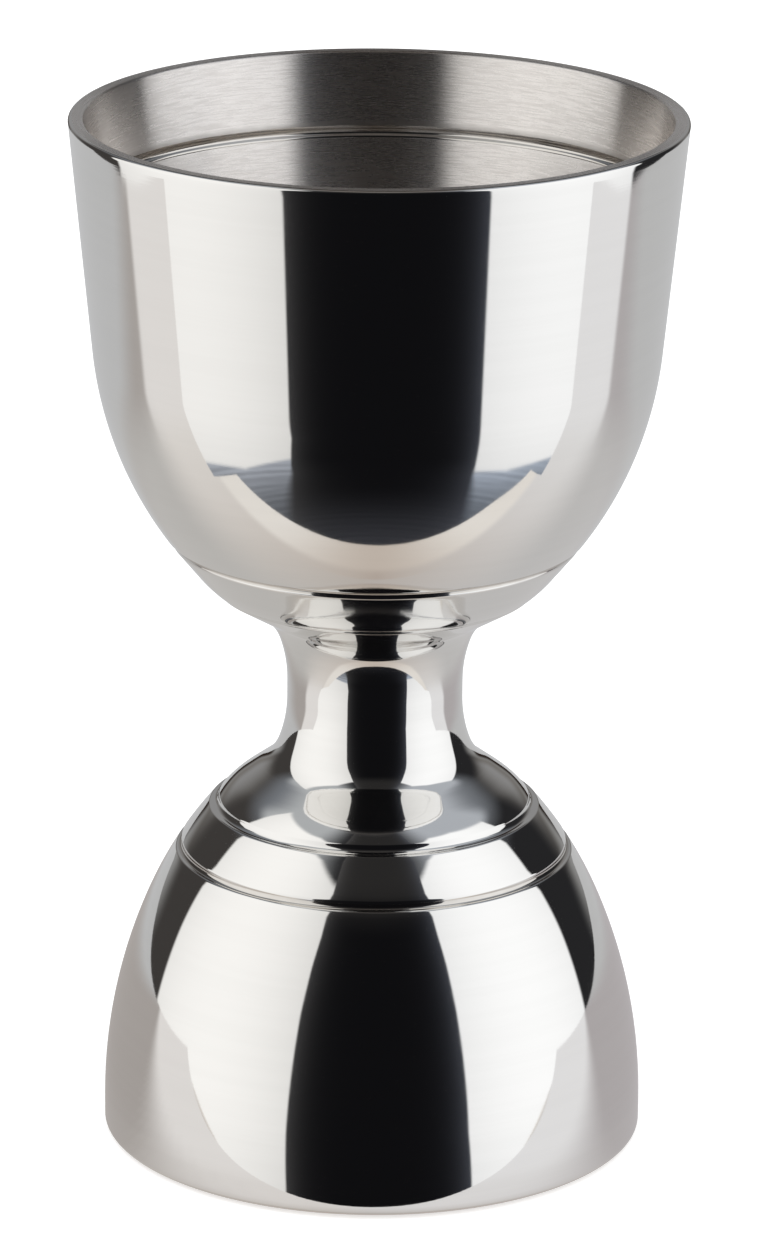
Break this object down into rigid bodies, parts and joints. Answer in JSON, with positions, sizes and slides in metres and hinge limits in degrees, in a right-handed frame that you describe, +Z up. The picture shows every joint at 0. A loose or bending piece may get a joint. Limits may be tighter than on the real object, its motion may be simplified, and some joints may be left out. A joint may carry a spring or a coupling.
{
  "type": "cocktail jigger",
  "caption": "Double-ended bell jigger of polished stainless steel: a larger cup above, a smaller cup below, joined by a waisted stem.",
  "frame": {"origin": "centre of the lower lip, on the surface that the jigger stands on", "axes": "+Z up along the axis of both cups, from the smaller cup to the larger one; +X and +Y are free, because the part is round"},
  "size_m": [0.0524, 0.0524, 0.0903],
  "materials": {
    "cup_steel": "mirror polished outside, satin inside and on the lip",
    "stem_steel": "mirror polished",
    "braze": "silver brazing filler, hidden in the joints"
  },
  "bodies": {
    "root": {"lower_cup": "cup_steel", "lower_braze_ring": "braze", "stem": "stem_steel", "upper_braze_ring": "braze", "upper_cup": "cup_steel"}
  },
  "joints": []
}
